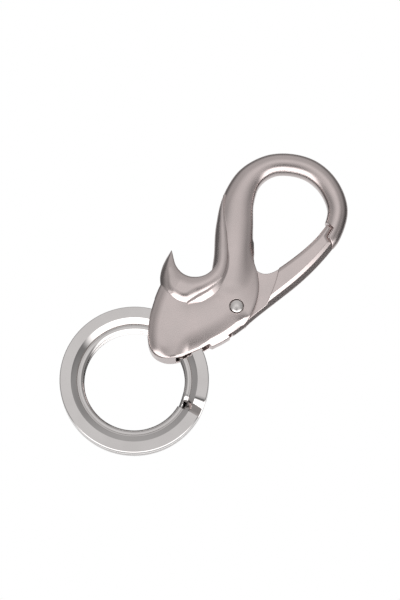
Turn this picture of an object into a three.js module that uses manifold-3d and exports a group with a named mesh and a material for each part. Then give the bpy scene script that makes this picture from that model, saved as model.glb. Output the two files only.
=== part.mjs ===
// Snap hook with a belt hook on its side and a split key ring in its lower eye.
// Millimetres, +Z up, the front faces -Y. The profiles are drawn in the XZ plane about the pivot of
// the gate, and the whole assembly is then moved so that the origin is where the loop hangs.

import * as THREE from 'three';
import { mergeVertices } from 'three/addons/utils/BufferGeometryUtils.js';
import Module from 'manifold-3d';

const wasm = await Module();
wasm.setup();

// ---- driving dimensions ------------------------------------------------------------------------

const BODY_THICKNESS = 8.0;          // front face to back face of the cast body
const BODY_BEVEL = 1.2;              // rounding of the body's edges
const WIRE_THICKNESS = 5.6;          // depth of the loop and of the gate arm, front to back
const CRESCENT_THICKNESS = 9.2;      // the belt hook stands a little proud of both faces

const HANG_POINT = new THREE.Vector2(-5.6, 32.1);   // inner top of the loop, from the pivot
const NOSE_WIDTH = 4.3;              // width of the loop where it meets the gate
const CROWN_WIDTH = 4.65;            // over the top of the loop
const NECK_WIDTH = 8.3;              // width of the loop's leg where it runs into the body

const BELT_CENTRE = new THREE.Vector2(-14.4, 3.6);  // round opening inside the belt hook
const BELT_RADIUS = 5.05;
const CRESCENT_CENTRE = new THREE.Vector2(-12.0, 0.15);
const CRESCENT_RADIUS = 7.45;

const SLOT_WIDTH = 3.8;              // gap between the two cheeks, for the gate's root
const ROOT_THICKNESS = 3.2;
const ROOT_RADIUS = 4.4;
const FIT = 0.3;                     // clearance between pieces that nearly touch
const PIN_RADIUS = 1.35;
const PIN_HOLE_RADIUS = PIN_RADIUS + FIT;

const RING_CENTRE = new THREE.Vector2(-6.7, -25.8);
const RING_OUTER_RADIUS = 15.85;     // a nominal 32 mm ring
const RING_INNER_RADIUS = 10.7;
const COIL_THICKNESS = 1.9;
const COIL_GAP = 0.2;
const RING_FLAT = 2.5;               // flat part of the ring's face, the rest is its rounded inner side
const NOSE_DEPTH = RING_OUTER_RADIUS - RING_INNER_RADIUS - RING_FLAT;
const JOGGLE_START = 9;              // degrees, where the back turn starts to cross to the front
const JOGGLE_END = 25;
const RING_SLOT_WIDTH = 4.6;
const RING_SLOT_TOP = -9.75;
const RING_SLOT_BOTTOM = -17.3;
const EYE_FLOOR_RADIUS = 9.1;        // the end wall is rounded where the ring bears on it
const EYE_FLOOR_TOP = -15.8;

const SPRING_X = -3.0;               // the spring pushes up under the root, left of the pivot
const SPRING_TOP = -2.6;
const SPRING_BOTTOM = -7.6;
const SPRING_MEAN_RADIUS = 1.2;
const SPRING_WIRE_RADIUS = 0.25;
const SPRING_TURNS = 5;
const POCKET_HALF_WIDTH = 1.8;

const SMALLEST_EDGE = 0.02;          // slivers left by the cuts are merged below this

// ---- materials ---------------------------------------------------------------------------------

const satinNickel = new THREE.MeshStandardMaterial({ color: 0xb4aeab, roughness: 0.36, metalness: 1 });
const polishedNickel = new THREE.MeshStandardMaterial({ color: 0xdedcd8, roughness: 0.14, metalness: 1 });
const chrome = new THREE.MeshStandardMaterial({ color: 0xc9cac8, roughness: 0.1, metalness: 1 });
const springSteel = new THREE.MeshStandardMaterial({ color: 0x8f9092, roughness: 0.4, metalness: 1 });

// ---- solids ------------------------------------------------------------------------------------

function solidOf(geometry) {
  const bare = geometry.clone();
  bare.deleteAttribute('normal');
  bare.deleteAttribute('uv');
  const merged = mergeVertices(bare, 1e-5);
  return new wasm.Manifold(new wasm.Mesh({
    numProp: 3,
    vertProperties: new Float32Array(merged.attributes.position.array),
    triVerts: new Uint32Array(merged.index.array),
  }));
}

function geometryOf(solid) {
  const mesh = solid.simplify(SMALLEST_EDGE).getMesh();
  const geometry = new THREE.BufferGeometry();
  geometry.setAttribute('position', new THREE.BufferAttribute(mesh.vertProperties, 3));
  geometry.setIndex(new THREE.BufferAttribute(mesh.triVerts, 1));
  geometry.computeVertexNormals();
  return geometry;
}

function piece(name, geometry, material) {
  const mesh = new THREE.Mesh(geometry, material);
  mesh.name = name;
  return mesh;
}

// A closed outline in the XZ plane, extruded to a plate that is centred on Y = 0.
function plate(shape, thickness, bevel = 0) {
  const geometry = new THREE.ExtrudeGeometry(shape, {
    depth: thickness - 2 * bevel,
    curveSegments: 6,
    bevelEnabled: bevel > 0,
    bevelThickness: bevel,
    bevelSize: bevel,
    bevelOffset: -bevel,
    bevelSegments: 2,
  });
  geometry.translate(0, 0, bevel - thickness / 2);
  geometry.rotateX(Math.PI / 2);
  return geometry;
}

// A rounded-rectangle section, one unit wide and one unit deep, for swept pieces.
function roundedSection(sides, squareness) {
  const points = [];
  for (let i = 0; i < sides; i += 1) {
    const angle = (2 * Math.PI * (i + 0.5)) / sides;
    const cos = Math.cos(angle);
    const sin = Math.sin(angle);
    const x = 0.5 * Math.sign(cos) * Math.abs(cos) ** squareness;
    const y = 0.5 * Math.sign(sin) * Math.abs(sin) ** squareness;
    points.push(new THREE.Vector2(x, y));
  }
  return new THREE.Shape(points);
}

// A straight bar of the section, bent so that the point (x, y) of its section at the fraction t of
// its length lands where place(x, y, t) says.
function bentBar(section, steps, place) {
  const bar = new THREE.ExtrudeGeometry(section, { depth: 1, steps, bevelEnabled: false, curveSegments: 4 });
  const position = bar.attributes.position;
  for (let i = 0; i < position.count; i += 1) {
    const point = place(position.getX(i), position.getY(i), position.getZ(i));
    position.setXYZ(i, point.x, point.y, point.z);
  }
  return bar;
}

// Sweeps a section along a plane curve in XZ. width(t) is measured in the plane, depth(t) along Y.
function sweep(curve, steps, section, width, depth) {
  return bentBar(section, steps, (x, y, t) => {
    const centre = curve.getPointAt(t);
    const tangent = curve.getTangentAt(t);
    const side = x * width(t);
    return new THREE.Vector3(centre.x + tangent.z * side, y * depth(t), centre.z - tangent.x * side);
  });
}

function inPlane(points) {
  return points.map(([x, z]) => new THREE.Vector3(x, 0, z));
}

function smoothstep(t) {
  const s = THREE.MathUtils.clamp(t, 0, 1);
  return s * s * (3 - 2 * s);
}

// ---- the cast body -----------------------------------------------------------------------------

// The middle line of the loop, from the nose over the top and down the neck into the body.
const loopLine = new THREE.CatmullRomCurve3(inPlane([
  [5.15, 23.2], [5.0, 25.6], [2.6, 30.9], [-2.1, 33.75], [-7.1, 34.2], [-11.5, 32.5],
  [-15.0, 29.2], [-16.5, 24.2], [-15.15, 18.8], [-11.95, 13.7], [-7.8, 8.2], [-5.0, 3.6],
]), false, 'centripetal');

function loopWidth(t) {
  const crown = (CROWN_WIDTH - NOSE_WIDTH) * smoothstep(t / 0.35);
  const neck = (NECK_WIDTH - CROWN_WIDTH) * smoothstep((t - 0.45) / 0.4);
  return NOSE_WIDTH + crown + neck;
}

function loopDepth(t) {
  return WIRE_THICKNESS + (BODY_THICKNESS - 0.6 - WIRE_THICKNESS) * smoothstep((t - 0.5) / 0.4);
}

// The bullet-shaped body: neck, cheeks, web and end wall, seen from the front.
function bulletShape() {
  const shape = new THREE.Shape();
  shape.moveTo(-6.6, 13.2);
  shape.lineTo(-3.4, 10.0);
  shape.bezierCurveTo(0.2, 8.1, 3.2, 4.4, 3.65, -0.8);
  shape.bezierCurveTo(3.8, -4.4, 2.1, -8.8, -0.25, -12.8);
  shape.bezierCurveTo(-2.1, -16.2, -4.2, -19.0, -6.8, -19.0);
  shape.bezierCurveTo(-9.3, -19.0, -11.5, -16.1, -13.3, -12.9);
  shape.bezierCurveTo(-14.5, -10.4, -15.3, -8.4, -15.8, -6.2);
  shape.lineTo(-12.6, -3.6);
  shape.bezierCurveTo(-8.4, -3.0, -6.8, 3.0, -9.5, 6.5);
  shape.lineTo(-13.8, 12.6);
  shape.closePath();
  return shape;
}

// The belt hook lies between two circles that are not concentric, so it tapers to a point.
function crescent() {
  const offset = CRESCENT_CENTRE.clone().sub(BELT_CENTRE);
  const spread = offset.length();
  const thickest = offset.angle();
  const from = thickest - THREE.MathUtils.degToRad(98);
  const to = thickest + THREE.MathUtils.degToRad(98);
  return bentBar(roundedSection(12, 0.7), 22, (x, y, t) => {
    const angle = from + (to - from) * t;
    const turn = angle - thickest;
    const outer = spread * Math.cos(turn)
      + Math.sqrt(CRESCENT_RADIUS ** 2 - (spread * Math.sin(turn)) ** 2);
    const width = outer - BELT_RADIUS;
    const radius = BELT_RADIUS + width * (0.5 + x);
    const depth = CRESCENT_THICKNESS * Math.min(1, 0.35 + 0.65 * smoothstep(width / 4));
    return new THREE.Vector3(
      BELT_CENTRE.x + radius * Math.cos(angle),
      y * depth,
      BELT_CENTRE.y + radius * Math.sin(angle),
    );
  });
}

// The gap between the cheeks: a sector that the root sweeps, and the pocket of the spring.
function gateSlotShape() {
  const armRadius = 12.4;
  const shoulderRadius = 9.9;
  const tailRadius = 7.6;
  const shape = new THREE.Shape();
  shape.absarc(0, 0, armRadius, 0, THREE.MathUtils.degToRad(121), false);
  shape.absarc(0, 0, shoulderRadius, THREE.MathUtils.degToRad(121), THREE.MathUtils.degToRad(136), false);
  shape.absarc(0, 0, ROOT_RADIUS + 0.5, THREE.MathUtils.degToRad(151), THREE.MathUtils.degToRad(184), false);
  shape.lineTo(SPRING_X - POCKET_HALF_WIDTH, SPRING_BOTTOM - FIT);
  shape.lineTo(SPRING_X + POCKET_HALF_WIDTH, SPRING_BOTTOM - FIT);
  shape.lineTo(SPRING_X + POCKET_HALF_WIDTH, -5.6);
  shape.lineTo(tailRadius * 0.4, -5.6);
  shape.lineTo(tailRadius, -3.2);
  shape.closePath();
  return shape;
}

// The eye that the ring turns in, open on both sides, with a rounded floor.
function ringSlotShape() {
  const left = -22;
  const right = 6;
  const floorCentre = EYE_FLOOR_TOP - EYE_FLOOR_RADIUS;
  const halfChord = Math.sqrt(EYE_FLOOR_RADIUS ** 2 - (RING_SLOT_BOTTOM - floorCentre) ** 2);
  const edgeAngle = Math.asin((RING_SLOT_BOTTOM - floorCentre) / EYE_FLOOR_RADIUS);
  const shape = new THREE.Shape();
  shape.moveTo(right, RING_SLOT_TOP);
  shape.lineTo(left, RING_SLOT_TOP);
  shape.lineTo(left, RING_SLOT_BOTTOM);
  shape.lineTo(RING_CENTRE.x - halfChord, RING_SLOT_BOTTOM);
  shape.absarc(RING_CENTRE.x, floorCentre, EYE_FLOOR_RADIUS, Math.PI - edgeAngle, edgeAngle, true);
  shape.lineTo(right, RING_SLOT_BOTTOM);
  shape.closePath();
  return shape;
}

// What is cut off the end of the loop: the lip stays on the outside, the tongue of the gate goes
// behind it on the inside.
function noseCutShape() {
  return new THREE.Shape([
    new THREE.Vector2(1.0, 27.0),
    new THREE.Vector2(1.0, 20.0),
    new THREE.Vector2(10.0, 20.0),
    new THREE.Vector2(10.0, 22.75),
    new THREE.Vector2(5.25, 24.75),
    new THREE.Vector2(4.85, 27.0),
  ]);
}

function pinCylinder(radius, length) {
  return new THREE.CylinderGeometry(radius, radius, length, 28);
}

function hookBody() {
  const loop = solidOf(sweep(loopLine, 56, roundedSection(16, 0.62), loopWidth, loopDepth));
  const nose = solidOf(plate(noseCutShape(), BODY_THICKNESS));
  const bullet = solidOf(plate(bulletShape(), BODY_THICKNESS, BODY_BEVEL));
  const gateSlot = solidOf(plate(gateSlotShape(), SLOT_WIDTH));
  const ringSlot = solidOf(plate(ringSlotShape(), RING_SLOT_WIDTH));
  const pinHole = solidOf(pinCylinder(PIN_HOLE_RADIUS, 2 * BODY_THICKNESS));
  const blank = loop.subtract(nose).add(bullet).add(solidOf(crescent()));
  return geometryOf(blank.subtract(gateSlot).subtract(ringSlot).subtract(pinHole));
}

// ---- the gate ----------------------------------------------------------------------------------

// The whole gate, seen from the front: tongue, arm, root and tail.
function gateShape() {
  const shape = new THREE.Shape();
  shape.moveTo(3.15, 26.65);
  shape.lineTo(4.5, 26.65);
  shape.lineTo(4.9, 24.55);
  shape.lineTo(7.2, 23.6);
  shape.bezierCurveTo(7.35, 19.5, 7.1, 15.5, 6.3, 11.2);
  shape.bezierCurveTo(5.5, 7.0, 4.4, 2.4, 4.0, -0.6);
  shape.bezierCurveTo(3.85, -2.0, 3.5, -3.4, 3.15, -4.7);
  shape.lineTo(1.6, -4.9);
  shape.lineTo(-0.2, -4.5);
  shape.lineTo(-0.9, -2.3);
  shape.lineTo(-3.8, -2.3);
  shape.absarc(0, 0, ROOT_RADIUS, THREE.MathUtils.degToRad(208), THREE.MathUtils.degToRad(120), true);
  shape.lineTo(-2.0, 9.2);
  shape.bezierCurveTo(-0.3, 9.2, 0.8, 10.4, 1.4, 12.6);
  shape.bezierCurveTo(2.3, 16.0, 3.2, 20.0, 3.25, 23.6);
  shape.closePath();
  return shape;
}

// Above this slanted step the gate has the full depth of the loop, below it only that of the root.
function armStepShape() {
  const shape = new THREE.Shape();
  shape.moveTo(0.0, 12.9);
  shape.lineTo(1.4, 12.5);
  shape.bezierCurveTo(2.6, 10.4, 3.8, 7.4, 4.6, 3.4);
  shape.lineTo(9.0, 3.4);
  shape.lineTo(9.0, 28.0);
  shape.lineTo(0.0, 28.0);
  shape.closePath();
  return shape;
}

function gate() {
  const thick = solidOf(plate(gateShape(), WIRE_THICKNESS));
  const root = solidOf(plate(gateShape(), ROOT_THICKNESS));
  const arm = thick.intersect(solidOf(plate(armStepShape(), 2 * BODY_THICKNESS)));
  const pinHole = solidOf(pinCylinder(PIN_HOLE_RADIUS, 2 * BODY_THICKNESS));
  return geometryOf(arm.add(root).subtract(pinHole));
}

// ---- pin, spring and ring ----------------------------------------------------------------------

function pivotPin() {
  const half = BODY_THICKNESS / 2;
  const chamfer = 0.15;
  return new THREE.LatheGeometry([
    new THREE.Vector2(0, -half),
    new THREE.Vector2(PIN_RADIUS - chamfer, -half),
    new THREE.Vector2(PIN_RADIUS, -half + chamfer),
    new THREE.Vector2(PIN_RADIUS, half - chamfer),
    new THREE.Vector2(PIN_RADIUS - chamfer, half),
    new THREE.Vector2(0, half),
  ], 24);
}

function gateSpring() {
  const section = roundedSection(6, 1);
  const rise = SPRING_TOP - SPRING_BOTTOM - 2 * SPRING_WIRE_RADIUS;
  const wire = 2 * SPRING_WIRE_RADIUS;
  return bentBar(section, SPRING_TURNS * 14, (x, y, t) => {
    const angle = -2 * Math.PI * SPRING_TURNS * t;
    const radius = SPRING_MEAN_RADIUS + x * wire;
    return new THREE.Vector3(
      SPRING_X + radius * Math.cos(angle),
      radius * Math.sin(angle),
      SPRING_BOTTOM + SPRING_WIRE_RADIUS + rise * t + y * wire,
    );
  });
}

// The section of the ring's wire: flat faces, a straight outer wall and a bullet nose on the inside.
function coilSection() {
  const outer = (RING_OUTER_RADIUS - RING_INNER_RADIUS) / 2;
  const half = COIL_THICKNESS / 2;
  const edge = 0.2;
  const noseSteps = 3;
  const section = new THREE.Shape();
  section.moveTo(outer, -half + edge);
  section.lineTo(outer, half - edge);
  section.lineTo(outer - edge, half);
  for (let i = -noseSteps; i <= noseSteps; i += 1) {
    const angle = (Math.PI / 2) * (i / noseSteps);
    section.lineTo(outer - RING_FLAT - NOSE_DEPTH * Math.cos(angle), -half * Math.sin(angle));
  }
  section.lineTo(outer - edge, -half);
  section.closePath();
  return section;
}

// One wire of two turns. The back turn ends behind the joggle and the front turn ends before it.
function keyRing() {
  const layer = (COIL_THICKNESS + COIL_GAP) / 2;
  const middle = (RING_OUTER_RADIUS + RING_INNER_RADIUS) / 2;
  const from = JOGGLE_END - 360;
  const to = JOGGLE_START + 360;
  return bentBar(coilSection(), 120, (x, y, t) => {
    const degrees = from + (to - from) * t;
    const angle = THREE.MathUtils.degToRad(degrees);
    const crossed = smoothstep((degrees - JOGGLE_START) / (JOGGLE_END - JOGGLE_START));
    const side = 1 - 2 * crossed;
    const radius = middle + x;
    return new THREE.Vector3(
      RING_CENTRE.x + radius * Math.cos(angle),
      side * layer + y,
      RING_CENTRE.y + radius * Math.sin(angle),
    );
  });
}

// ---- assembly ----------------------------------------------------------------------------------

const assembly = new THREE.Group();
assembly.add(piece('hook_body', hookBody(), satinNickel));
assembly.add(piece('gate', gate(), satinNickel));
assembly.add(piece('pivot_pin', pivotPin(), polishedNickel));
assembly.add(piece('gate_spring', gateSpring(), springSteel));
assembly.add(piece('key_ring', keyRing(), chrome));
assembly.position.set(-HANG_POINT.x, 0, -HANG_POINT.y);

const snapHook = new THREE.Group();
snapHook.add(assembly);

export default snapHook;
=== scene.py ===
import math

import bmesh
import bpy
import numpy as np
from mathutils import Matrix, Vector


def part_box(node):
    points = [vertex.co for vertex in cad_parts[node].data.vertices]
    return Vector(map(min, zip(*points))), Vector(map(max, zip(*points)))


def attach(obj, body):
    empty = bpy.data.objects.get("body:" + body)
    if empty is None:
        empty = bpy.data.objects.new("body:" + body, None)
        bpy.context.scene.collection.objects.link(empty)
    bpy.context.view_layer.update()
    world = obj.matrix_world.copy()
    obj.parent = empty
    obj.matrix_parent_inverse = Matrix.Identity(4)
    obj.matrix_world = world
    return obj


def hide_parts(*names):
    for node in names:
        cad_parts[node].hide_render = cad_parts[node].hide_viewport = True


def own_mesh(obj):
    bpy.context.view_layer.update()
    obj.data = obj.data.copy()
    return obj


MM = 0.001
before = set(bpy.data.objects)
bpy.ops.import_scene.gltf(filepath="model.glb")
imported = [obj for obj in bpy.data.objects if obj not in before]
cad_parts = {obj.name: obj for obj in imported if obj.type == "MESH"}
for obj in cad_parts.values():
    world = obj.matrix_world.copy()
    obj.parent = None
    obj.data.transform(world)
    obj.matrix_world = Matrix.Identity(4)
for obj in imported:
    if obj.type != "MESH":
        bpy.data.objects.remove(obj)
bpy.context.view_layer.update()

pin_low, pin_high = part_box("pivot_pin")
ring_low, ring_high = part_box("key_ring")
PIVOT = (pin_low + pin_high) / 2
RING_AXIS = (ring_low + ring_high) / 2

# ---- dimensions in millimetres ------------------------------------------------------------------

BODY_HALF = 3.82
WIRE_HALF = 2.8
NOSE_WIDTH = 4.3
CROWN_WIDTH = 4.65
NECK_WIDTH = 8.3
NECK_HALF = 3.75
GATE_SLOT_HALF = 1.9
RING_SLOT_HALF = 2.3
ROOT_HALF = 1.6
ROOT_RADIUS = 4.4
PIN_RADIUS = 1.35
PIN_HOLE_RADIUS = 1.53
RING_OUTER = 15.85
RING_INNER = 10.7
COIL_THICKNESS = 1.9
COIL_GAP = 0.2
COIL_STEPS = 700
SECTION_STEP = 0.35
JOGGLE_START = 9.0
JOGGLE_END = 25.0
SPRING_X = -3.0
SPRING_TOP = -2.6
SPRING_BOTTOM = -7.6
SPRING_TURNS = 5.0
SPRING_WIRE = 0.25
SPRING_MEAN = 1.2
SPRING_STEPS = 420
SPRING_SIDES = 12
PIN_HALF = 4.2
PIN_SIDES = 72

# How far the edges are rounded, and how widely the body's parts run into each other.
HOLE_EDGE = 0.1
NOSE_EDGE = 0.12
GATE_SLOT_EDGE = 0.16
RING_SLOT_EDGE = 0.2
GATE_EDGE = 0.15
NECK_BLEND = 1.2
BAND_BLEND = 0.12

# Steps of the meshes' grids and of the plane maps.
BODY_CELL = 0.155
GATE_CELL = 0.12
MAP_STEP = 0.12

# ---- plane lines --------------------------------------------------------------------------------


def smoothstep(t):
    t = np.clip(t, 0.0, 1.0)
    return t * t * (3.0 - 2.0 * t)


def resample(line, count):
    gaps = np.hypot(*np.diff(line, axis=0).T)
    along = np.concatenate([[0.0], np.cumsum(gaps)])
    want = np.linspace(0.0, along[-1], count)
    return np.stack([np.interp(want, along, line[:, i]) for i in range(line.shape[1])], 1)


def smooth_line(points, count):
    """An even run of points on the centripetal Catmull-Rom curve through the given ones."""
    p = np.array(points, float)
    p = np.vstack([2 * p[0] - p[1], p, 2 * p[-1] - p[-2]])
    u = np.linspace(0.0, 1.0, 40, endpoint=False)[:, None]
    parts = []
    for i in range(1, len(p) - 2):
        a, b, c, d = p[i - 1 : i + 3]
        k0, k1, k2 = (max(np.linalg.norm(q), 1e-6) ** 0.5 for q in (b - a, c - b, d - c))
        m1 = ((b - a) / k0 - (c - a) / (k0 + k1) + (c - b) / k1) * k1
        m2 = ((c - b) / k1 - (d - b) / (k1 + k2) + (d - c) / k2) * k1
        parts.append(
            (2 * u**3 - 3 * u**2 + 1) * b
            + (u**3 - 2 * u**2 + u) * m1
            + (3 * u**2 - 2 * u**3) * c
            + (u**3 - u**2) * m2
        )
    parts.append(p[-2:-1])
    return resample(np.concatenate(parts), count)


def outline(start, *steps):
    """A closed outline. A step is one point for a straight line, or three for a Bezier curve."""
    points = [np.array(start, float)]
    for step in steps:
        step = np.array(step, float)
        if step.ndim == 1:
            points.append(step)
            continue
        a, b, c, d = points[-1], *step
        for t in np.linspace(0.0, 1.0, 33)[1:]:
            s = 1.0 - t
            points.append(s**3 * a + 3 * s * s * t * b + 3 * s * t * t * c + t**3 * d)
    return np.array(points)


def arc(centre, radius, start, end, count=24):
    angles = np.radians(np.linspace(start, end, count))
    return np.stack([centre[0] + radius * np.cos(angles), centre[1] + radius * np.sin(angles)], 1)


# ---- maps of the plane ----------------------------------------------------------------------------
# Distances to lines and outlines are worked out once on a fine plane grid and then looked up.

MAP_LOW = np.array([-23.0, -23.0])
MAP_HIGH = np.array([12.0, 40.0])
map_x = np.arange(MAP_LOW[0], MAP_HIGH[0], MAP_STEP)
map_z = np.arange(MAP_LOW[1], MAP_HIGH[1], MAP_STEP)
MAP_POINTS = np.stack(np.meshgrid(map_x, map_z, indexing="ij"), -1).reshape(-1, 2)


def by_chunks(work, points, size=4000):
    return np.concatenate([work(points[i : i + size]) for i in range(0, len(points), size)])


def to_map(values):
    return values.reshape(len(map_x), len(map_z))


def look_up(table, x, z):
    u = np.clip((x - MAP_LOW[0]) / MAP_STEP, 0, table.shape[0] - 1.001)
    v = np.clip((z - MAP_LOW[1]) / MAP_STEP, 0, table.shape[1] - 1.001)
    i, j = u.astype(int), v.astype(int)
    u, v = u - i, v - j
    low = table[i, j] * (1 - v) + table[i, j + 1] * v
    high = table[i + 1, j] * (1 - v) + table[i + 1, j + 1] * v
    return low * (1 - u) + high * u


def softened(table, reach):
    """The map averaged over a small square, three times over."""
    n = int(reach / MAP_STEP)
    for _ in range(3):
        for axis in (0, 1):
            padded = np.pad(table, [(n, n) if a == axis else (0, 0) for a in (0, 1)], mode="edge")
            total = np.cumsum(padded, axis=axis)
            total = np.insert(total, 0, 0.0, axis=axis)
            high = np.take(total, range(2 * n + 1, total.shape[axis]), axis=axis)
            low = np.take(total, range(0, total.shape[axis] - 2 * n - 1), axis=axis)
            table = (high - low) / (2 * n + 1)
    return table


def track_maps(line):
    """Maps of how far along the line the nearest point is, from 0 to 1, of how far to its left it
    is, and of its plain distance."""
    tangent = np.gradient(line, axis=0)
    tangent /= np.linalg.norm(tangent, axis=1)[:, None]
    step = np.linalg.norm(line[1] - line[0])

    def work(q):
        gap = q[:, None, :] - line[None]
        near = (gap**2).sum(-1).argmin(1)
        off = q - line[near]
        t = tangent[near]
        ahead = (off * t).sum(1)
        side = off[:, 1] * t[:, 0] - off[:, 0] * t[:, 1]
        over = np.maximum(np.abs(ahead) - step, 0.0)
        side = np.copysign(np.hypot(side, over), side)
        return np.stack([(near + np.clip(ahead / step, -1, 1)) / (len(line) - 1), side], 1)

    found = by_chunks(work, MAP_POINTS)
    return to_map(found[:, 0]), to_map(found[:, 1]), to_map(np.abs(found[:, 1]))


def outline_map(points):
    """Map of the signed distance to a closed outline, negative inside."""
    a = points
    b = np.roll(points, -1, axis=0)
    keep = np.linalg.norm(b - a, axis=1) > 1e-9
    a, b = a[keep], b[keep]
    edge = b - a
    length2 = (edge**2).sum(1)

    def work(q):
        gap = q[:, None, :] - a[None]
        t = np.clip((gap * edge).sum(-1) / length2, 0.0, 1.0)
        distance = np.sqrt(((gap - t[..., None] * edge) ** 2).sum(-1).min(1))
        above = (a[None, :, 1] > q[:, None, 1]) != (b[None, :, 1] > q[:, None, 1])
        rise = np.where(np.abs(edge[:, 1]) < 1e-12, 1e-12, edge[:, 1])
        cross = a[None, :, 0] + (q[:, None, 1] - a[None, :, 1]) * edge[:, 0] / rise
        inside = (above & (q[:, None, 0] < cross)).sum(1) % 2 == 1
        return np.where(inside, -distance, distance)

    return to_map(by_chunks(work, MAP_POINTS))


# ---- implicit solids ------------------------------------------------------------------------------


def soft_min(a, b, k):
    h = np.maximum(k - np.abs(a - b), 0.0) / k
    return np.minimum(a, b) - h * h * k / 4.0


def soft_max(a, b, k):
    return -soft_min(-a, -b, k)


def surface_net(values, low, step):
    """A quad mesh of the zero surface of a grid of values that are negative inside."""
    inside = values < 0.0
    shape = np.array(values.shape)
    corners = np.array([[i, j, k] for i in (0, 1) for j in (0, 1) for k in (0, 1)])
    count = np.zeros(shape - 1, int)
    for i, j, k in corners:
        count += inside[i : shape[0] - 1 + i, j : shape[1] - 1 + j, k : shape[2] - 1 + k]
    mixed = (count > 0) & (count < 8)
    index = np.full(shape - 1, -1)
    index[mixed] = np.arange(mixed.sum())
    cells = np.argwhere(mixed)
    total = np.zeros((len(cells), 3))
    number = np.zeros(len(cells))
    for a in range(8):
        for b in range(a + 1, 8):
            if np.abs(corners[a] - corners[b]).sum() != 1:
                continue
            va = values[tuple((cells + corners[a]).T)]
            vb = values[tuple((cells + corners[b]).T)]
            crossed = (va < 0) != (vb < 0)
            t = va[crossed] / (va[crossed] - vb[crossed])
            total[crossed] += corners[a] + t[:, None] * (corners[b] - corners[a])
            number[crossed] += 1
    points = low + step * (cells + total / number[:, None])
    quads = []
    for axis in range(3):
        u, v = np.roll(np.arange(3), -axis)[1:]
        first = [slice(1, -1)] * 3
        second = [slice(1, -1)] * 3
        first[axis], second[axis] = slice(0, -1), slice(1, None)
        a, b = inside[tuple(first)], inside[tuple(second)]
        at = np.argwhere(a != b)
        base = np.ones(3, int)
        base[axis] = 0
        rising = a[tuple(at.T)]
        at = at + base
        du, dv = np.eye(3, dtype=int)[u], np.eye(3, dtype=int)[v]
        ring = [index[tuple((at - o).T)] for o in (0 * du, du, du + dv, dv)]
        quad = np.stack(ring, 1)
        quad[~rising] = quad[~rising][:, ::-1]
        quads.append(quad)
    return points, np.concatenate(quads)


def steepest(points, field, e=0.03):
    rise = [field(*(points + e * u).T) - field(*(points - e * u).T) for u in np.eye(3)]
    return np.stack(rise, 1) / (2 * e)


def settle(points, field, rounds=3):
    """Moves points onto the zero surface of the field."""
    for _ in range(rounds):
        value = field(points[:, 0], points[:, 1], points[:, 2])
        slope = steepest(points, field)
        size = np.maximum((slope**2).sum(1), 0.05)
        move = -(value / size)[:, None] * slope
        length = np.linalg.norm(move, axis=1)[:, None]
        points = points + move * np.minimum(1.0, 0.1 / np.maximum(length, 1e-9))
    return points


def solid_mesh(name, field, low, high, cell):
    """A mesh object of the field's solid between two corners, in millimetres about the pivot."""
    axes = [np.arange(low[i], high[i] + cell, cell) for i in range(3)]
    plane_x, plane_z = np.meshgrid(axes[0], axes[2], indexing="ij")
    values = np.stack([field(plane_x, np.full_like(plane_x, y), plane_z) for y in axes[1]], 1)
    points, quads = surface_net(values, np.array(low, float), cell)
    points = settle(points, field)
    obj = mesh_object(name, points, quads)
    normals = steepest(points, field, 0.06)
    normals /= np.maximum(np.linalg.norm(normals, axis=1), 1e-9)[:, None]
    obj.data.normals_split_custom_set_from_vertices(normals.tolist())
    return obj


def mesh_object(name, points, faces, origin=None):
    """An object whose mesh has these points, in millimetres about the pivot, and faces."""
    origin = PIVOT if origin is None else origin
    mesh = bpy.data.meshes.new(name)
    faces = faces if isinstance(faces, list) else faces.tolist()
    mesh.from_pydata((points * MM + np.array(origin)).tolist(), [], faces)
    mesh.validate()
    mesh.polygons.foreach_set("use_smooth", [True] * len(mesh.polygons))
    mesh.update()
    obj = bpy.data.objects.new(name, mesh)
    bpy.context.scene.collection.objects.link(obj)
    return obj


# ---- the cast body --------------------------------------------------------------------------------

LOOP_LINE = smooth_line(
    [
        (5.15, 23.2), (5.0, 25.6), (2.6, 30.9), (-2.1, 33.75), (-7.1, 34.2), (-11.5, 32.5),
        (-15.0, 29.2), (-16.5, 24.2), (-15.15, 18.8), (-11.95, 13.7), (-7.8, 8.2), (-5.0, 3.6),
    ],
    700,
)

# The belt hook's band lies between an inner line, on the round opening, and an outer line.
BAND_INNER = [
    (-18.95, 1.0), (-18.0, 0.3), (-17.0, -0.5), (-15.8, -1.3), (-14.4, -1.7), (-13.2, -1.7),
    (-12.0, -1.35), (-10.9, -0.65), (-10.1, 0.1), (-9.4, 1.3), (-9.1, 2.8), (-9.2, 4.2),
    (-9.8, 5.4), (-11.1, 7.1), (-12.4, 8.9), (-13.8, 10.7), (-15.1, 12.5), (-16.4, 14.4),
    (-17.4, 16.1), (-18.0, 17.5),
]
BAND_OUTER = [
    (-18.95, 0.95), (-18.6, -1.0), (-17.9, -3.4), (-16.6, -5.6), (-14.6, -7.2), (-12.4, -7.65),
    (-10.0, -7.3), (-8.3, -6.0), (-7.4, -3.6), (-6.6, -1.2), (-6.2, 1.4), (-6.4, 3.2),
    (-7.0, 4.9), (-8.4, 7.1), (-10.0, 9.0), (-11.7, 10.8), (-13.4, 12.5), (-15.1, 14.1),
    (-16.7, 15.9), (-17.9, 17.4),
]
# How tall the band is at each fraction of its inner line, from the tip to the neck's kink.
BAND_AT = [0.0, 0.06, 0.13, 0.22, 0.34, 0.43, 0.6, 0.75, 0.9, 1.0]
BAND_TALL = [1.6, 2.9, 4.1, 4.68, 4.72, 4.68, 4.25, 3.75, 3.0, 2.2]
# How far it falls towards its outer line.
BAND_DROP = [0.4, 1.2, 2.2, 1.6, 0.92, 0.3, 0.25, 0.25, 0.2, 0.1]
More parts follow.
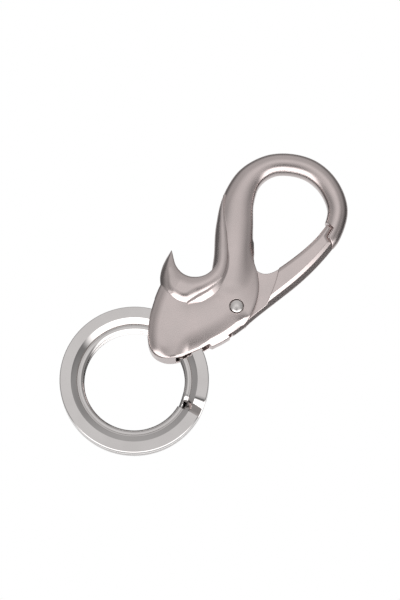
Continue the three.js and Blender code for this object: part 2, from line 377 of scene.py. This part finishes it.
# A narrow facet slopes away from the outer line, from the foot of the crescent to the neck's kink.
FLANK_LINE = BAND_OUTER[7:]
FLANK_AT = [0.0, 0.09, 0.2, 0.3, 0.5, 0.75, 1.0]
FLANK_WIDTH = [0.2, 1.1, 1.5, 1.15, 0.95, 0.6, 0.25]
FLANK_HALF = [4.1, 4.4, 4.45, 4.3, 3.95, 3.1, 2.1]
FLANK_SLOPE = 0.64


def bullet_outline():
    return outline(
        (-6.6, 13.2),
        (-3.4, 10.0),
        ((0.2, 8.1), (3.2, 4.4), (3.65, -0.8)),
        ((3.8, -4.4), (2.1, -8.8), (-0.25, -12.8)),
        ((-2.1, -16.2), (-4.2, -19.0), (-6.8, -19.0)),
        ((-9.3, -19.0), (-11.5, -16.1), (-13.3, -12.9)),
        ((-14.5, -10.4), (-15.3, -8.4), (-15.8, -6.2)),
        (-12.6, -3.6),
        ((-8.4, -3.0), (-6.8, 3.0), (-9.5, 6.5)),
        (-13.8, 12.6),
    )


def gate_slot_outline():
    return np.concatenate(
        [
            arc((0, 0), 12.4, 0, 121),
            arc((0, 0), 9.9, 121, 136),
            arc((0, 0), ROOT_RADIUS + 0.5, 151, 184),
            [(-4.8, -7.9), (-1.2, -7.9), (-1.2, -5.6), (3.04, -5.6), (7.6, -3.2)],
        ]
    )


def ring_slot_outline():
    centre = RING_AXIS.x / MM - PIVOT.x / MM
    floor = arc((centre, -24.9), 9.1, 180 - 56.6, 56.6)
    return np.concatenate([[(6, -9.75), (-22, -9.75), (-22, -17.3)], floor, [(6, -17.3)]])


NOSE_CUT = [(1.0, 26.88), (1.0, 20.0), (10.0, 20.0), (10.0, 22.6), (5.14, 24.64), (4.74, 26.88)]


def body_field():
    loop_t, loop_side, loop_gap = track_maps(LOOP_LINE)
    bullet = outline_map(bullet_outline())
    bullet_soft = softened(bullet, 0.8)
    gate_slot = outline_map(gate_slot_outline())
    ring_slot = outline_map(ring_slot_outline())
    nose_cut = outline_map(np.array(NOSE_CUT))

    band_t, inner_side, _ = track_maps(smooth_line(BAND_INNER, 500))
    outer_side = track_maps(smooth_line(BAND_OUTER, 500))[1]
    inner_line, outer_line = smooth_line(BAND_INNER, 300), smooth_line(BAND_OUTER, 300)
    band_edge = outline_map(np.concatenate([inner_line, outer_line[::-1]]))
    flank_t, _, flank_gap = track_maps(smooth_line(FLANK_LINE, 300))

    def loop(x, y, z):
        t = look_up(loop_t, x, z)
        inward = look_up(loop_side, x, z) > 0
        gap = look_up(loop_gap, x, z)
        crown = (CROWN_WIDTH - NOSE_WIDTH) * smoothstep(t / 0.35)
        neck = (NECK_WIDTH - CROWN_WIDTH) * smoothstep((t - 0.45) / 0.4)
        a = (NOSE_WIDTH + crown + neck) / 2
        b = WIRE_HALF + (NECK_HALF - WIRE_HALF) * smoothstep((t - 0.5) / 0.4)
        fuller = 0.16 * (1 - smoothstep((t - 0.7) / 0.28))
        reach = np.where(inward, a * (1 + fuller), a)
        n = 2.05 + 0.4 * smoothstep((t - 0.5) / 0.35)
        round_part = ((gap / reach) ** n + (np.abs(y) / b) ** n) ** (1 / n) - 1
        return soft_max(round_part * np.minimum(a, b), gap - np.where(inward, a, 2 * a), 0.5)

    def bullet_solid(x, y, z):
        d = look_up(bullet, x, z)
        depth = np.maximum(-d, 0.0)
        inner = np.maximum(-look_up(bullet_soft, x, z), 0.0)
        low = smoothstep((0.5 - z) / 3.5)
        right = smoothstep((x + 0.5 * (z + 14.0) + 4.6) / 3.0) * low
        left = smoothstep((-4.5 - x - 0.35 * (z + 14.0)) / 4.0)
        dome = 0.4 * (1 - np.clip(inner / 6.0, 0, 1)) ** 2
        edge = 1 - np.clip(depth / 2.6, 0, 1)
        soft = 1.4 * (1 - np.sqrt(np.maximum(1 - edge * edge, 0.0)))
        wide = np.interp(z, [-18, -15, -12, -9, -3, 0.5], [0.35, 0.45, 0.7, 1.3, 1.45, 0.5])
        bevel = 0.8 * wide * (1 - np.clip(depth / wide, 0, 1))
        bevel = bevel + 0.95 * (1 - np.clip(inner / 4.6, 0, 1)) ** 2
        brow = 0.1 * (1 - np.clip(depth / 0.7, 0, 1)) ** 2
        fade = 0.0125 * np.maximum(z, 0.0) ** 2
        scoop = 0.25 * (1 - np.clip(look_up(flank_gap, x, z) / 4.5, 0, 1)) ** 2
        height = BODY_HALF - scoop - dome - fade - soft * left - bevel * right
        height = height - brow * (1 - left) * (1 - right)
        return soft_max(np.abs(y) - height, d, 0.2)

    def band(x, y, z):
        t = look_up(band_t, x, z)
        near = np.maximum(-look_up(inner_side, x, z), 0)
        far = np.maximum(look_up(outer_side, x, z), 0)
        width = near + far
        tall = np.interp(t, BAND_AT, BAND_TALL)
        drop = np.interp(t, BAND_AT, BAND_DROP)
        reach_in = np.minimum(2.4, 0.5 * width) + 1e-6
        reach_out = np.minimum(2.3, 0.5 * width) + 1e-6
        fall_in = 1 - np.clip(near / reach_in, 0, 1)
        fall_out = 1 - np.clip(far / reach_out, 0, 1)
        height = tall - 0.62 * reach_in * (1 - np.sqrt(1 - fall_in**2)) - drop * fall_out**2
        return soft_max(np.abs(y) - height, look_up(band_edge, x, z), 0.15)

    def flank(x, y, z):
        t = look_up(flank_t, x, z)
        side = look_up(flank_gap, x, z)
        a = np.interp(t, FLANK_AT, FLANK_WIDTH)
        tall = np.interp(t, FLANK_AT, FLANK_HALF)
        return soft_max(np.abs(y) - tall + FLANK_SLOPE * side, side - a, 0.08)

    def field(x, y, z):
        f = soft_min(loop(x, y, z), bullet_solid(x, y, z), NECK_BLEND)
        f = soft_min(f, band(x, y, z), BAND_BLEND)
        f = soft_min(f, flank(x, y, z), BAND_BLEND)
        gate_room = np.maximum(look_up(gate_slot, x, z), np.abs(y) - GATE_SLOT_HALF)
        ring_room = np.maximum(look_up(ring_slot, x, z), np.abs(y) - RING_SLOT_HALF)
        f = soft_max(f, -gate_room, GATE_SLOT_EDGE)
        f = soft_max(f, -ring_room, RING_SLOT_EDGE)
        f = soft_max(f, -look_up(nose_cut, x, z), NOSE_EDGE)
        return soft_max(f, PIN_HOLE_RADIUS - np.hypot(x, z), HOLE_EDGE)

    return field


# ---- the gate --------------------------------------------------------------------------------------


# The gate's outer edge, from its tip to its lower end, and how tall its face is by the distance
# from that edge.
GATE_BACK = [
    ((7.35, 19.5), (7.1, 15.5), (6.3, 11.2)),
    ((5.5, 7.0), (4.4, 2.4), (4.0, -0.6)),
    ((3.85, -2.0), (3.5, -3.4), (3.15, -4.7)),
]
FACET_AT = [0.0, 0.8, 1.5]
FACET_TALL = [0.35, 2.15, WIRE_HALF]


def gate_outline():
    root = arc((0, 0), ROOT_RADIUS, 208, 120)
    head = outline(
        (3.15, 26.65),
        (4.5, 26.65),
        (4.9, 24.55),
        (7.2, 23.6),
        *GATE_BACK,
        (1.6, -4.9),
        (-0.2, -4.5),
        (-0.9, -2.3),
        (-3.8, -2.3),
    )
    tail = outline(
        (-2.0, 9.2),
        ((-0.3, 9.2), (0.8, 10.4), (1.4, 12.6)),
        ((2.3, 16.0), (3.2, 20.0), (3.25, 23.6)),
    )
    return np.concatenate([head, root, tail])


def arm_outline():
    return outline(
        (0.0, 12.9),
        (1.4, 12.5),
        ((2.6, 10.4), (3.8, 7.4), (4.6, 3.4)),
        (9.0, 3.4),
        (9.0, 28.0),
        (0.0, 28.0),
    )


def gate_field():
    whole = outline_map(gate_outline())
    arm = outline_map(arm_outline())
    outer = outline(
        (7.2, 27.0),
        (7.2, 23.6),
        *GATE_BACK,
    )
    outer_side = track_maps(resample(outer, 500))[1]

    def field(x, y, z):
        d = look_up(whole, x, z)
        depth = -look_up(outer_side, x, z)
        inner_edge = 0.55 * (1 - np.clip(-d / 0.95, 0, 1)) ** 2
        tall = np.minimum(np.interp(depth, FACET_AT, FACET_TALL), WIRE_HALF - inner_edge)
        front = np.abs(y) - tall
        upper = soft_max(soft_max(d, front, NOSE_EDGE), look_up(arm, x, z), GATE_EDGE)
        root = soft_max(soft_max(d, np.abs(y) - ROOT_HALF, GATE_EDGE), front, HOLE_EDGE)
        return soft_max(np.minimum(upper, root), PIN_HOLE_RADIUS - np.hypot(x, z), HOLE_EDGE)

    return field


# ---- swept and turned pieces -----------------------------------------------------------------------


def grid_faces(rows, columns, wrap_rows, wrap_columns):
    i, j = np.meshgrid(
        np.arange(rows if wrap_rows else rows - 1),
        np.arange(columns if wrap_columns else columns - 1),
        indexing="ij",
    )
    i2, j2 = (i + 1) % rows, (j + 1) % columns
    quad = np.stack([i * columns + j, i2 * columns + j, i2 * columns + j2, i * columns + j2], -1)
    return quad.reshape(-1, 4).tolist()


def tube_faces(rows, columns):
    """Faces of sections that follow one another, closed at both ends."""
    faces = grid_faces(rows, columns, False, True)
    total = rows * columns
    faces.append(list(range(columns))[::-1])
    faces.append(list(range(total - columns, total)))
    return faces


def coil_section():
    """The ring's wire as (distance from the axis, depth), front first."""
    half = COIL_THICKNESS / 2
    corners = [
        (15.64, -half), (13.44, -half), (13.3, -0.86), (12.28, -0.08), (12.1, 0.42), (11.82, 0.46),
        (11.76, 0.3), (11.3, 0.3), (11.1, 0.4), (10.85, 0.62), (10.74, 0.8), (RING_INNER, 0.88),
        (RING_INNER, half), (15.65, half), (15.8, half - 0.05), (RING_OUTER, half - 0.2),
        (RING_OUTER, -half + 0.4), (15.79, -half + 0.12),
    ]
    closed = np.array(corners + corners[:1])
    points = []
    for a, b in zip(closed[:-1], closed[1:]):
        steps = max(1, int(np.hypot(*(b - a)) / SECTION_STEP))
        points += [a + (b - a) * k / steps for k in range(steps)]
    return np.array(points)


def key_ring():
    section = coil_section()
    layer = (COIL_THICKNESS + COIL_GAP) / 2
    degrees = np.linspace(JOGGLE_END - 360, JOGGLE_START + 360, COIL_STEPS)
    crossed = smoothstep((degrees - JOGGLE_START) / (JOGGLE_END - JOGGLE_START))
    angle = np.radians(degrees)[:, None]
    radius = section[None, :, 0]
    x = radius * np.cos(angle)
    z = radius * np.sin(angle)
    y = section[None, :, 1] + ((1 - 2 * crossed) * layer)[:, None]
    points = np.stack([x, np.broadcast_to(y, x.shape), z], -1).reshape(-1, 3)
    return mesh_object("split_ring", points, tube_faces(COIL_STEPS, len(section)), RING_AXIS)


def pivot_pin():
    crown = [(1.24 * k / 8, -PIN_HALF + 0.34 * (k / 8) ** 2) for k in range(9)]
    profile = crown + [(1.3, -3.8), (PIN_RADIUS, -3.7), (PIN_RADIUS, -2.5), (PIN_RADIUS, 0.0)]
    half = np.array(profile)
    full = np.concatenate([half, (half * [1, -1])[::-1][1:]])[1:-1]
    angle = np.linspace(0, 2 * np.pi, PIN_SIDES, endpoint=False)[:, None]
    x = full[None, :, 0] * np.cos(angle)
    z = full[None, :, 0] * np.sin(angle)
    y = np.broadcast_to(full[None, :, 1], x.shape)
    points = np.stack([x, y, z], -1).reshape(-1, 3)
    n = len(full)
    faces = grid_faces(PIN_SIDES, n, True, False)
    ends = np.array([[0, -PIN_HALF, 0], [0, PIN_HALF, 0]])
    base = len(points)
    points = np.concatenate([points, ends])
    for i in range(PIN_SIDES):
        j = (i + 1) % PIN_SIDES
        faces.append([base, i * n, j * n])
        faces.append([base + 1, j * n + n - 1, i * n + n - 1])
    return mesh_object("pin", points, faces)


def gate_spring():
    t = np.linspace(0, 1, SPRING_STEPS)[:, None]
    angle = -2 * np.pi * SPRING_TURNS * t
    rise = SPRING_TOP - SPRING_BOTTOM - 2 * SPRING_WIRE
    pitch = np.interp(t, [0, 0.16, 0.84, 1], [0, 0.1, 0.9, 1])
    around = np.linspace(0, 2 * np.pi, SPRING_SIDES, endpoint=False)[None, :]
    radius = SPRING_MEAN + SPRING_WIRE * np.cos(around)
    x = SPRING_X + radius * np.cos(angle)
    y = radius * np.sin(angle)
    z = SPRING_BOTTOM + SPRING_WIRE + rise * pitch + SPRING_WIRE * np.sin(around)
    points = np.stack([x, y, np.broadcast_to(z, x.shape)], -1).reshape(-1, 3)
    return mesh_object("spring", points, tube_faces(SPRING_STEPS, SPRING_SIDES))


def face_outward(obj):
    bm = bmesh.new()
    bm.from_mesh(obj.data)
    bmesh.ops.recalc_face_normals(bm, faces=bm.faces)
    bm.to_mesh(obj.data)
    bm.free()


def crisp(obj, degrees):
    """Edges sharper than this stay sharp under smooth shading."""
    obj.data.set_sharp_from_angle(angle=math.radians(degrees))


# ---- materials -------------------------------------------------------------------------------------


def material(name, colour, darker, roughness, spread, grain, bump, fine):
    """Bare metal: slow changes of tint and gloss, and a fine grain in the bump."""
    m = bpy.data.materials.new(name)
    m.use_nodes = True
    nodes, links = m.node_tree.nodes, m.node_tree.links
    shader = nodes["Principled BSDF"]
    shader.inputs["Metallic"].default_value = 1.0
    place = nodes.new("ShaderNodeTexCoord")
    slow = nodes.new("ShaderNodeTexNoise")
    slow.inputs["Scale"].default_value = grain
    slow.inputs["Detail"].default_value = 4.0
    links.new(place.outputs["Object"], slow.inputs["Vector"])
    tint = nodes.new("ShaderNodeValToRGB")
    tint.color_ramp.elements[0].position = 0.3
    tint.color_ramp.elements[0].color = (*darker, 1)
    tint.color_ramp.elements[1].position = 0.7
    tint.color_ramp.elements[1].color = (*colour, 1)
    links.new(slow.outputs["Fac"], tint.inputs["Fac"])
    links.new(tint.outputs["Color"], shader.inputs["Base Color"])
    grit = nodes.new("ShaderNodeTexNoise")
    grit.inputs["Scale"].default_value = fine
    grit.inputs["Detail"].default_value = 3.0
    links.new(place.outputs["Object"], grit.inputs["Vector"])
    gloss = nodes.new("ShaderNodeMapRange")
    gloss.inputs["From Min"].default_value = 0.3
    gloss.inputs["From Max"].default_value = 0.7
    gloss.inputs["To Min"].default_value = roughness - spread
    gloss.inputs["To Max"].default_value = roughness + spread
    links.new(grit.outputs["Fac"], gloss.inputs["Value"])
    links.new(gloss.outputs["Result"], shader.inputs["Roughness"])
    relief = nodes.new("ShaderNodeBump")
    relief.inputs["Strength"].default_value = bump
    relief.inputs["Distance"].default_value = 0.00002
    links.new(grit.outputs["Fac"], relief.inputs["Height"])
    links.new(relief.outputs["Normal"], shader.inputs["Normal"])
    return m


SATIN = material(
    "satin_nickel", (0.79, 0.69, 0.675), (0.74, 0.655, 0.64), roughness=0.26, spread=0.03,
    grain=260, bump=0.025, fine=5200,
)
POLISHED = material(
    "polished_nickel", (0.97, 0.92, 0.90), (0.93, 0.89, 0.87), roughness=0.30, spread=0.03,
    grain=500, bump=0.03, fine=4000,
)
CHROME = material(
    "chrome_wire", (0.73, 0.70, 0.69), (0.68, 0.65, 0.64), roughness=0.07, spread=0.02,
    grain=200, bump=0.01, fine=3000,
)
STEEL = material(
    "spring_steel", (0.45, 0.45, 0.46), (0.36, 0.36, 0.37), roughness=0.3, spread=0.05,
    grain=900, bump=0.2, fine=6000,
)


def dress(obj, metal, body, node):
    obj.data.materials.append(metal)
    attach(obj, body)
    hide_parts(node)


# ---- pieces ----------------------------------------------------------------------------------------

hook = solid_mesh("hook_casting", body_field(), (-20.4, -5.2, -19.8), (8.4, 5.2, 37.2), BODY_CELL)
dress(hook, SATIN, "hook", "hook_body")

gate = solid_mesh("gate_casting", gate_field(), (-5.2, -3.4, -5.6), (8.0, 3.4, 27.4), GATE_CELL)
dress(gate, SATIN, "gate", "gate")

pin = pivot_pin()
dress(pin, POLISHED, "hook", "pivot_pin")

spring = gate_spring()
dress(spring, STEEL, "hook", "gate_spring")
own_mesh(spring)

ring = key_ring()
for made in (pin, spring, ring):
    face_outward(made)
dress(ring, CHROME, "ring", "key_ring")

crisp(ring, 25)
crisp(pin, 35)

# ---- camera ----------------------------------------------------------------------------------------

AZIMUTH, ELEVATION, ROLL = (math.radians(a) for a in (8.9, -10.3, 40.78))
DISTANCE = 0.6
VIEW_WIDTH = 0.08566

towards = Vector(
    (
        math.sin(AZIMUTH) * math.cos(ELEVATION),
        -math.cos(AZIMUTH) * math.cos(ELEVATION),
        math.sin(ELEVATION),
    )
)
level = Vector((math.cos(AZIMUTH), math.sin(AZIMUTH), 0.0))
upward = towards.cross(level)
right = level * math.cos(ROLL) + upward * math.sin(ROLL)
up = upward * math.cos(ROLL) - level * math.sin(ROLL)
target = Vector((0.0, 0.0, -0.030)) - right * 0.00484 - up * 0.00289

camera_data = bpy.data.cameras.new("camera")
camera_data.sensor_fit = "AUTO"
camera_data.sensor_width = 36.0
camera_data.lens = 36.0 * DISTANCE / (VIEW_WIDTH * 1.5)
camera_data.clip_start = 0.01
camera_data.clip_end = 20.0
camera = bpy.data.objects.new("camera", camera_data)
bpy.context.scene.collection.objects.link(camera)
turn = Matrix((right, up, towards)).transposed().to_4x4()
camera.matrix_world = Matrix.Translation(target + towards * DISTANCE) @ turn
bpy.context.scene.camera = camera

# ---- studio ----------------------------------------------------------------------------------------
# A light tent with bright and dark zones, which only the metal sees. Its directions were set from the
# camera's and its steps were tuned against the photograph. They are fixed in the world, so the tent
# stays put when the view changes. The camera sees plain white in its place.


def studio_world():
    world = bpy.data.worlds.new("studio")
    bpy.context.scene.world = world
    world.use_nodes = True
    nodes, links = world.node_tree.nodes, world.node_tree.links
    nodes.clear()
    place = nodes.new("ShaderNodeTexCoord")

    def dot(axis):
        n = nodes.new("ShaderNodeVectorMath")
        n.operation = "DOT_PRODUCT"
        n.inputs[1].default_value = axis
        links.new(place.outputs["Generated"], n.inputs[0])
        return n.outputs["Value"]

    def maths(operation, a, b=None):
        n = nodes.new("ShaderNodeMath")
        n.operation = operation
        for socket, value in zip(n.inputs, (a, b)):
            if value is None:
                continue
            if isinstance(value, (int, float)):
                socket.default_value = value
            else:
                links.new(value, socket)
        return n.outputs[0]

    ahead = dot(towards)
    across = dot(right)
    above = dot(up)
    cosine = maths("MINIMUM", maths("MAXIMUM", ahead, -1.0), 1.0)
    angle = maths("DIVIDE", maths("ARCCOSINE", cosine), math.pi)
    squares = maths("ADD", maths("MULTIPLY", across, across), maths("MULTIPLY", above, above))
    spread = maths("MAXIMUM", squares, 1e-4)

    def share(value, sign):
        part = maths("MAXIMUM", maths("MULTIPLY", value, sign), 0.0)
        return maths("DIVIDE", maths("MULTIPLY", part, part), spread)

    def ramp(stops):
        n = nodes.new("ShaderNodeValToRGB")
        n.color_ramp.interpolation = "EASE"
        elements = n.color_ramp.elements
        while len(elements) < len(stops):
            elements.new(0.5)
        for element, (degrees, grey) in zip(elements, stops):
            element.position = degrees / 180.0
            element.color = (grey, grey, grey, 1.0)
        links.new(angle, n.inputs["Fac"])
        return n.outputs["Color"]

    def scaled(colour, amount):
        n = nodes.new("ShaderNodeVectorMath")
        n.operation = "SCALE"
        links.new(colour, n.inputs[0])
        links.new(amount, n.inputs["Scale"])
        return n.outputs["Vector"]

    def added(first, second):
        n = nodes.new("ShaderNodeVectorMath")
        n.operation = "ADD"
        links.new(first, n.inputs[0])
        links.new(second, n.inputs[1])
        return n.outputs["Vector"]

    # The white lower side holds its full strength well round towards the left and right.
    downward = nodes.new("ShaderNodeMapRange")
    downward.interpolation_type = "SMOOTHSTEP"
    downward.inputs["From Min"].default_value = DOWN_FROM
    downward.inputs["From Max"].default_value = DOWN_FULL
    slant = maths("DIVIDE", maths("MULTIPLY", above, -1.0), maths("SQRT", spread))
    links.new(slant, downward.inputs["Value"])
    below = downward.outputs["Result"]
    shares = [
        (share(above, 1.0), ramp(UP_SIDE)),
        (share(across, -1.0), ramp(LEFT_SIDE)),
        (share(across, 1.0), ramp(RIGHT_SIDE)),
    ]
    whole = maths("ADD", maths("ADD", shares[0][0], shares[1][0]), shares[2][0])
    whole = maths("MAXIMUM", whole, 1e-3)
    rest = maths("DIVIDE", maths("SUBTRACT", 1.0, below), whole)
    total = scaled(ramp(DOWN_SIDE), below)
    for weight, colour in shares:
        total = added(total, scaled(colour, maths("MULTIPLY", weight, rest)))

    tent = nodes.new("ShaderNodeBackground")
    links.new(total, tent.inputs["Color"])
    tent.inputs["Strength"].default_value = TENT_STRENGTH
    paper = nodes.new("ShaderNodeBackground")
    paper.inputs["Color"].default_value = (1.0, 1.0, 1.0, 1.0)
    paper.inputs["Strength"].default_value = 1.0
    seen = nodes.new("ShaderNodeLightPath")
    mix = nodes.new("ShaderNodeMixShader")
    links.new(seen.outputs["Is Camera Ray"], mix.inputs["Fac"])
    links.new(tent.outputs["Background"], mix.inputs[1])
    links.new(paper.outputs["Background"], mix.inputs[2])
    out = nodes.new("ShaderNodeOutputWorld")
    links.new(mix.outputs["Shader"], out.inputs["Surface"])


TENT_STRENGTH = 1.0
DOWN_FROM = 0.25
DOWN_FULL = 0.65
# Brightness of each side of the tent by the angle in degrees from the direction `towards`.
DOWN_SIDE = [
    (0, 0.38), (7, 0.16), (15, 0.12), (24, 0.35), (36, 2.1),
    (94, 2.1), (103, 0.03), (115, 0.04), (126, 0.4), (180, 1.0),
]
UP_SIDE = [
    (0, 0.38), (13, 0.6), (27, 0.79), (42, 0.62), (62, 0.5),
    (102, 0.5), (120, 0.22), (140, 0.15), (158, 0.6), (180, 1.0),
]
LEFT_SIDE = [
    (0, 0.38), (27, 0.64), (42, 0.42), (60, 0.27), (76, 0.38),
    (92, 0.3), (114, 0.1), (140, 0.12), (156, 0.6), (180, 1.0),
]
RIGHT_SIDE = [
    (0, 0.38), (27, 0.56), (42, 0.38), (60, 0.24), (76, 0.34),
    (90, 0.2), (110, 0.06), (134, 0.1), (150, 0.6), (180, 1.0),
]
studio_world()

FLOOR_HEIGHT = -0.2


def floor():
    count = 64
    angle = np.linspace(0, 2 * np.pi, count, endpoint=False)
    rings = [0.02, 0.2, 0.8, 3.0]
    points = np.array([[r * math.cos(a), r * math.sin(a), FLOOR_HEIGHT] for r in rings for a in angle])
    faces = grid_faces(len(rings), count, False, True)
    faces.append(list(range(count)))
    mesh = bpy.data.meshes.new("floor")
    mesh.from_pydata(points.tolist(), [], faces)
    obj = bpy.data.objects.new("floor", mesh)
    bpy.context.scene.collection.objects.link(obj)
    face_outward(obj)
    m = bpy.data.materials.new("floor_paint")
    m.use_nodes = True
    shader = m.node_tree.nodes["Principled BSDF"]
    shader.inputs["Base Color"].default_value = (0.86, 0.86, 0.85, 1)
    shader.inputs["Roughness"].default_value = 0.8
    shader.inputs["Emission Color"].default_value = (1, 1, 1, 1)
    shader.inputs["Emission Strength"].default_value = 0.4
    obj.data.materials.append(m)
    obj.visible_glossy = False


floor()


def soft_light(name, position, size, power):
    data = bpy.data.lights.new(name, "AREA")
    data.shape = "DISK"
    data.size = size
    data.energy = power
    obj = bpy.data.objects.new(name, data)
    bpy.context.scene.collection.objects.link(obj)
    obj.location = position
    obj.rotation_mode = "QUATERNION"
    obj.rotation_quaternion = (Vector(position) - target).to_track_quat("Z", "Y")
    obj.visible_glossy = False


soft_light("front_above", (0.15, -0.95, 0.25), 0.8, 11.0)

scene = bpy.context.scene
scene.view_settings.view_transform = "Standard"
scene.view_settings.look = "None"
scene.view_settings.exposure = 0.0
scene.view_settings.gamma = 1.0
